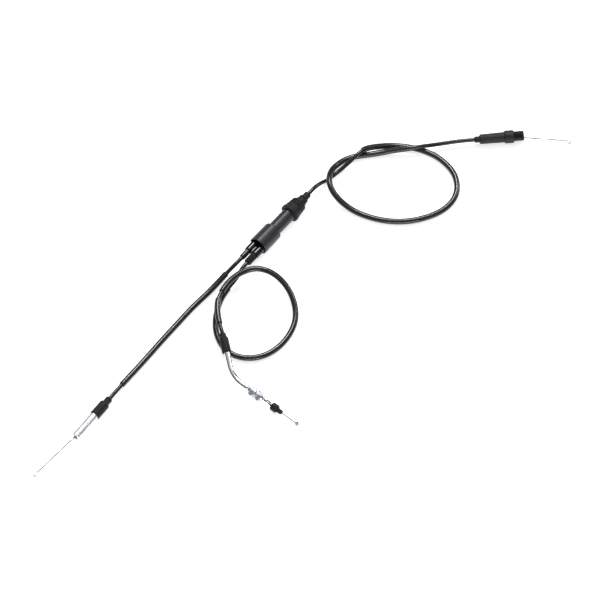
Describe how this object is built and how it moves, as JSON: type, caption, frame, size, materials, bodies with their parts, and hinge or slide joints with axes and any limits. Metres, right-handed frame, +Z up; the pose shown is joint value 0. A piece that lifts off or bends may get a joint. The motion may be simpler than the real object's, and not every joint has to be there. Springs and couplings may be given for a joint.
{
  "type": "motorcycle_throttle_cable",
  "caption": "Motorcycle throttle cable with one upper cable, a splitter and two lower cables for the carburettor and the oil pump",
  "frame": {"origin": "Centre of the fittings' box, on the table", "axes": "+X runs from the carburettor end to the throttle end, +Y away from the viewer, +Z up from the table the cable lies on"},
  "size_m": [0.6469, 0.4986, 0.0244],
  "materials": {
    "pvc_gloss_black": "smooth extruded PVC conduit with sharp thin highlights",
    "sleeve_gloss_black": "smooth protective tubing, a little softer than the conduit",
    "boot_rubber": "matte moulded rubber",
    "adjuster_black": "black moulded adjuster",
    "housing_charcoal": "satin charcoal moulding",
    "outlet_black": "glossy black moulding",
    "slider_nylon": "natural nylon, hidden",
    "ferrule_steel": "plated steel, hidden",
    "wire_steel": "stranded steel inner wire",
    "nipple_metal": "cast solder nipple, shiny",
    "bare_aluminium": "bright satin turned aluminium",
    "bright_tube": "bright plated steel tube",
    "zinc_plate": "zinc-plated steel, slightly blue"
  },
  "bodies": {
    "cable": {"throttle_adjuster": "adjuster_black", "throttle_ferrule": "ferrule_steel", "upper_conduit": "pvc_gloss_black", "upper_sleeve": "sleeve_gloss_black", "upper_ferrule": "ferrule_steel", "splitter_housing": "housing_charcoal", "outlet_block": "outlet_black", "carb_socket": "outlet_black", "pump_socket": "outlet_black", "carb_conduit": "pvc_gloss_black", "carb_sleeve": "sleeve_gloss_black", "carb_ferrule": "ferrule_steel", "carb_tube": "bare_aluminium", "pump_conduit": "pvc_gloss_black", "pump_sleeve": "sleeve_gloss_black", "pump_end_sleeve": "sleeve_gloss_black", "pump_ferrule": "ferrule_steel", "pump_boot": "boot_rubber", "pump_bent_tube": "bright_tube", "pump_dust_cap": "boot_rubber"},
    "throttle_pull": {"throttle_wire": "wire_steel", "throttle_nipple": "nipple_metal"},
    "slider": {"splitter_slider": "slider_nylon", "splitter_upper_wire": "wire_steel", "splitter_carb_wire": "wire_steel", "splitter_pump_wire": "wire_steel"},
    "carb_pull": {"carb_wire": "wire_steel", "carb_nipple": "nipple_metal"},
    "pump_pull": {"pump_wire": "wire_steel", "pump_nipple": "nipple_metal"},
    "throttle_boot": {"throttle_boot": "boot_rubber"},
    "carb_boot": {"carb_boot": "boot_rubber"},
    "splitter_cap": {"splitter_cap": "boot_rubber"},
    "splitter_sleeve": {"splitter_sleeve": "housing_charcoal"},
    "inner_washer": {"inner_washer": "zinc_plate"},
    "inner_lock_nut": {"inner_lock_nut": "zinc_plate"},
    "outer_washer": {"outer_washer": "zinc_plate"},
    "outer_lock_nut": {"outer_lock_nut": "zinc_plate"}
  },
  "joints": [
    {"name": "throttle_pull", "type": "slide", "parent": "cable", "child": "throttle_pull", "axis": [0.9962, -0.0872, 0], "range_m": [0, 0.017]},
    {"name": "slider_lift", "type": "slide", "parent": "cable", "child": "slider", "axis": [0.6225, 0.7826, 0], "range_m": [0, 0.017]},
    {"name": "carb_wire_draw", "type": "slide", "parent": "cable", "child": "carb_pull", "axis": [0.6561, 0.7547, 0], "range_m": [0, 0.017]},
    {"name": "pump_wire_draw", "type": "slide", "parent": "cable", "child": "pump_pull", "axis": [-0.7547, 0.6561, 0], "range_m": [0, 0.017]},
    {"name": "throttle_boot_slide", "type": "slide", "parent": "cable", "child": "throttle_boot", "axis": [-0.9945, -0.1045, 0], "range_m": [0, 0.012]},
    {"name": "carb_boot_slide", "type": "slide", "parent": "cable", "child": "carb_boot", "axis": [0.5878, 0.809, 0], "range_m": [0, 0.012]},
    {"name": "splitter_cap_slide", "type": "slide", "parent": "cable", "child": "splitter_cap", "axis": [0.6225, 0.7826, 0], "range_m": [0, 0.005]},
    {"name": "splitter_sleeve_slide", "type": "slide", "parent": "cable", "child": "splitter_sleeve", "axis": [0.6225, 0.7826, 0], "range_m": [0, 0.024]},
    {"name": "inner_nut_travel", "type": "slide", "parent": "cable", "child": "inner_washer", "axis": [0.7547, -0.6561, 0], "range_m": [-0.004, 0.001]},
    {"name": "inner_nut_turn", "type": "hinge", "parent": "inner_washer", "child": "inner_lock_nut", "pos_m": [-0.074, -0.117, 0.00703], "axis": [0.7547, -0.6561, 0], "range_deg": [-1440, 360]},
    {"name": "outer_nut_travel", "type": "slide", "parent": "cable", "child": "outer_washer", "axis": [0.7547, -0.6561, 0], "range_m": [-0.001, 0.008]},
    {"name": "outer_nut_turn", "type": "hinge", "parent": "outer_washer", "child": "outer_lock_nut", "pos_m": [-0.074, -0.117, 0.00703], "axis": [0.7547, -0.6561, 0], "range_deg": [-360, 2880]}
  ],
  "couplings": [
    {"joint": "slider_lift", "follows": "throttle_pull", "ratio": 1},
    {"joint": "carb_wire_draw", "follows": "throttle_pull", "ratio": 1},
    {"joint": "pump_wire_draw", "follows": "throttle_pull", "ratio": 1},
    {"joint": "inner_nut_travel", "follows": "inner_nut_turn", "m_per_rad": 0.00015915},
    {"joint": "outer_nut_travel", "follows": "outer_nut_turn", "m_per_rad": 0.00015915}
  ]
}
